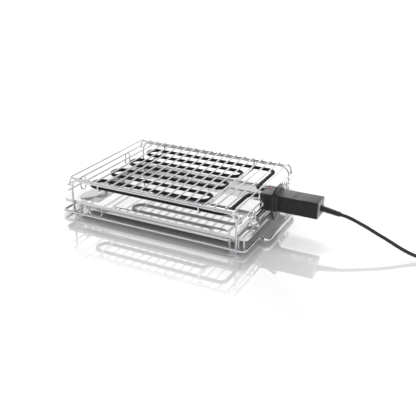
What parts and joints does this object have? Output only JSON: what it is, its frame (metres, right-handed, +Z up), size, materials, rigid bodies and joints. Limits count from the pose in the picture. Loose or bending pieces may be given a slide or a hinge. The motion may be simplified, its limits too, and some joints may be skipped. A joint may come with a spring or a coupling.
{
  "type": "electric table grill",
  "caption": "Open wire-frame electric table grill with looped heating element, drip tray, lift-off wire rack and pull-off connector with cord.",
  "frame": {"origin": "on the table plane, under the middle of the outline of the grill with its connector pushed on and without the cord", "axes": "+X along the long side towards the connector, +Y to the rear, +Z up"},
  "size_m": [0.8166, 0.3105, 0.0935],
  "materials": {
    "chrome_wire": "bright chromed steel wire",
    "tray_steel": "mirror-polished stainless sheet",
    "element_sheath": "matt black oxidised steel tube",
    "plated_steel": "nickel-plated steel",
    "black_plastic": "satin moulded phenolic",
    "red_lens": "translucent red lens",
    "lamp_glass": "clear glass capsule",
    "contact_brass": "plain brass",
    "brown_phenolic": "heat-proof phenolic",
    "cord_rubber": "satin rubber sheath",
    "tie_plastic": "woven strap",
    "plug_rubber": "moulded rubber"
  },
  "bodies": {
    "stand": {"base_ring": "chrome_wire", "front_hoop": "chrome_wire", "rear_hoop": "chrome_wire", "element_cradles": "chrome_wire", "box_rest_wire": "chrome_wire", "corner_feet": "chrome_wire", "tray_rests": "chrome_wire"},
    "tray": {"drip_tray": "tray_steel"},
    "heater": {"heating_element": "element_sheath", "element_collars": "plated_steel", "box_shell": "black_plastic", "box_front_plate": "black_plastic", "box_screws": "plated_steel", "connector_pins": "plated_steel", "indicator_lens": "red_lens", "indicator_lamp": "lamp_glass", "lead_straps": "contact_brass"},
    "rack": {"rack_front_hoop": "chrome_wire", "rack_rear_hoop": "chrome_wire", "rack_grill_wires": "chrome_wire", "rack_side_wires": "chrome_wire", "rack_lift_loops": "chrome_wire"},
    "connector": {"connector_guard": "black_plastic", "connector_shell_upper": "black_plastic", "connector_shell_lower": "black_plastic", "socket_block": "brown_phenolic", "socket_contacts": "contact_brass", "connector_screws": "plated_steel", "strain_relief": "cord_rubber", "cord": "cord_rubber", "cord_coil": "cord_rubber", "cord_tie": "tie_plastic", "cord_tail": "cord_rubber", "mains_plug_body": "plug_rubber", "mains_plug_pins": "plated_steel"}
  },
  "joints": [
    {"name": "tray_slide", "type": "slide", "parent": "stand", "child": "tray", "axis": [-1, 0, 0], "range_m": [0, 0.25]},
    {"name": "heater_lift", "type": "slide", "parent": "stand", "child": "heater", "axis": [0, 0, 1], "range_m": [0, 0.03]},
    {"name": "rack_lift", "type": "slide", "parent": "heater", "child": "rack", "axis": [0, 0, 1], "range_m": [0, 0.06]},
    {"name": "connector_pull", "type": "slide", "parent": "heater", "child": "connector", "axis": [1, 0, 0], "range_m": [0, 0.03]}
  ]
}
